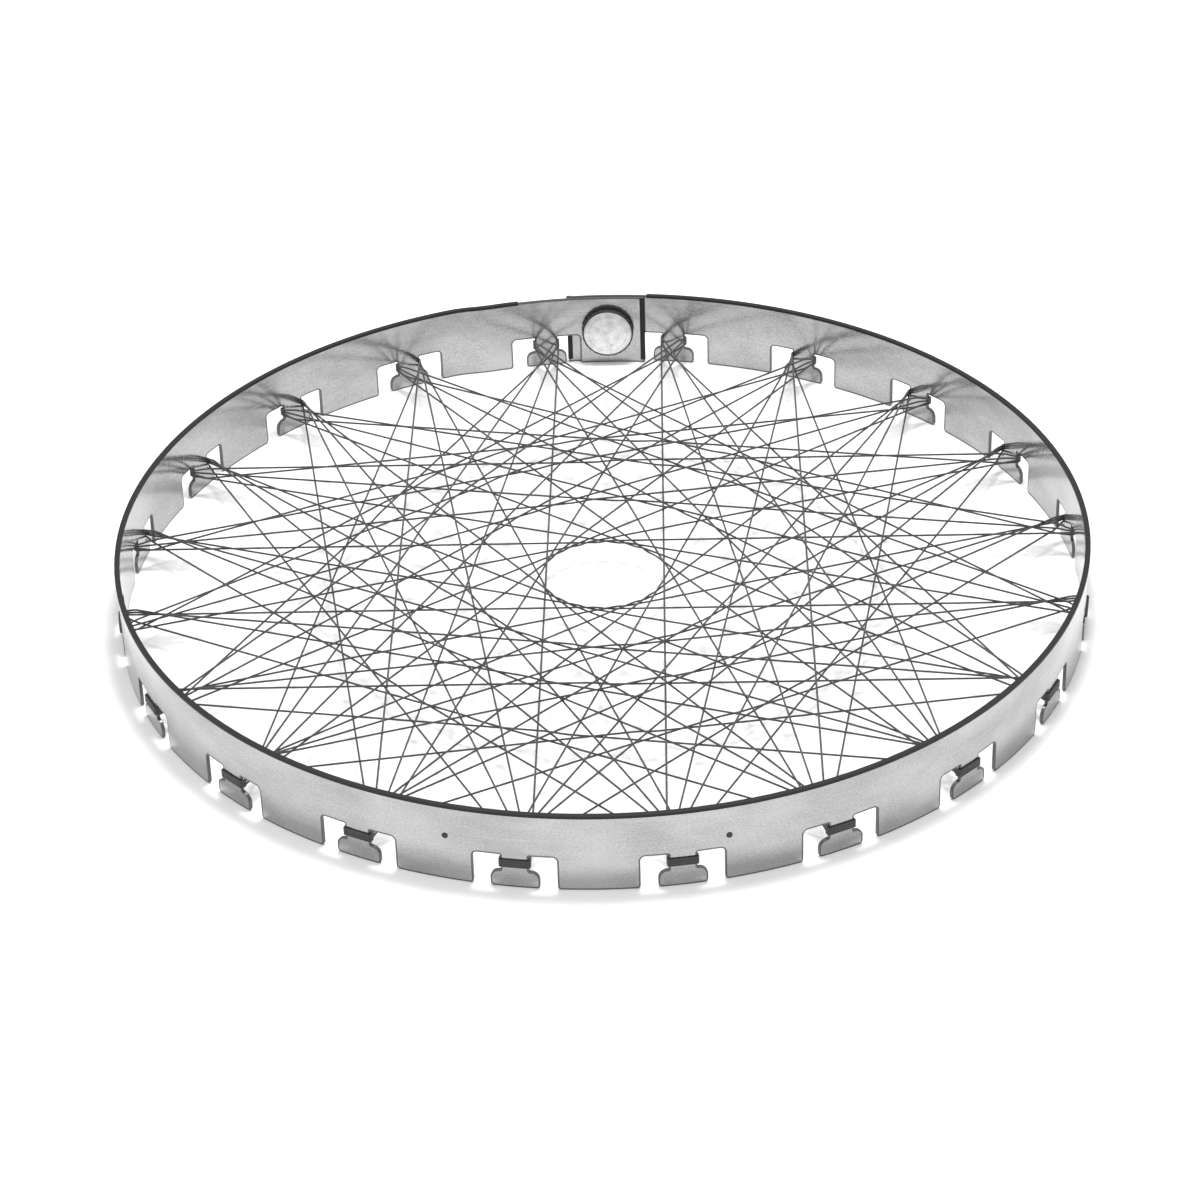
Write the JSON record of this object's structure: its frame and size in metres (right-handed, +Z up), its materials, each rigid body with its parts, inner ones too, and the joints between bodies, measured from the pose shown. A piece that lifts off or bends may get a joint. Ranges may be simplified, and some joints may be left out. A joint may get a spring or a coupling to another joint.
{
  "type": "roundnet set",
  "caption": "Round metal strip hoop on its edge, with T hooks along the foot, a laced star-pattern cord net across it and a clamp knob at the lap.",
  "frame": {"origin": "on the ground, at the middle of the bounding box", "axes": "+Z up, +Y towards the lap and its clamp knob, -Y between the two small rivets"},
  "size_m": [0.9159, 0.919, 0.078],
  "materials": {
    "strip": "satin rolled strip",
    "edging": "matte",
    "cord": "braided cord",
    "bolt": "zinc plated",
    "knob": "moulded",
    "insert": "turned",
    "cap": "spun"
  },
  "bodies": {
    "hoop": {"hoop_strip": "strip", "rim_edging": "edging", "inner_end_edging": "edging", "outer_end_edging": "edging", "net_course_top": "cord", "net_course_second": "cord", "net_course_third": "cord", "net_course_lowest": "cord", "front_rivets": "knob", "clamp_bolt": "bolt", "clamp_pad": "edging"},
    "washer": {"clamp_washer": "bolt"},
    "knob": {"knob_body": "knob", "knob_insert": "insert", "knob_cap": "cap"}
  },
  "joints": [
    {"name": "clamp_travel", "type": "slide", "parent": "hoop", "child": "washer", "axis": [0, -1, 0], "range_m": [0, 0.00375]},
    {"name": "knob_turn", "type": "hinge", "parent": "washer", "child": "knob", "pos_m": [0.002, 0.446, 0.0385], "axis": [0, -1, 0], "range_deg": [0, 1080]}
  ],
  "couplings": [
    {"joint": "knob_turn", "follows": "clamp_travel", "rad_per_m": 5026.5}
  ]
}
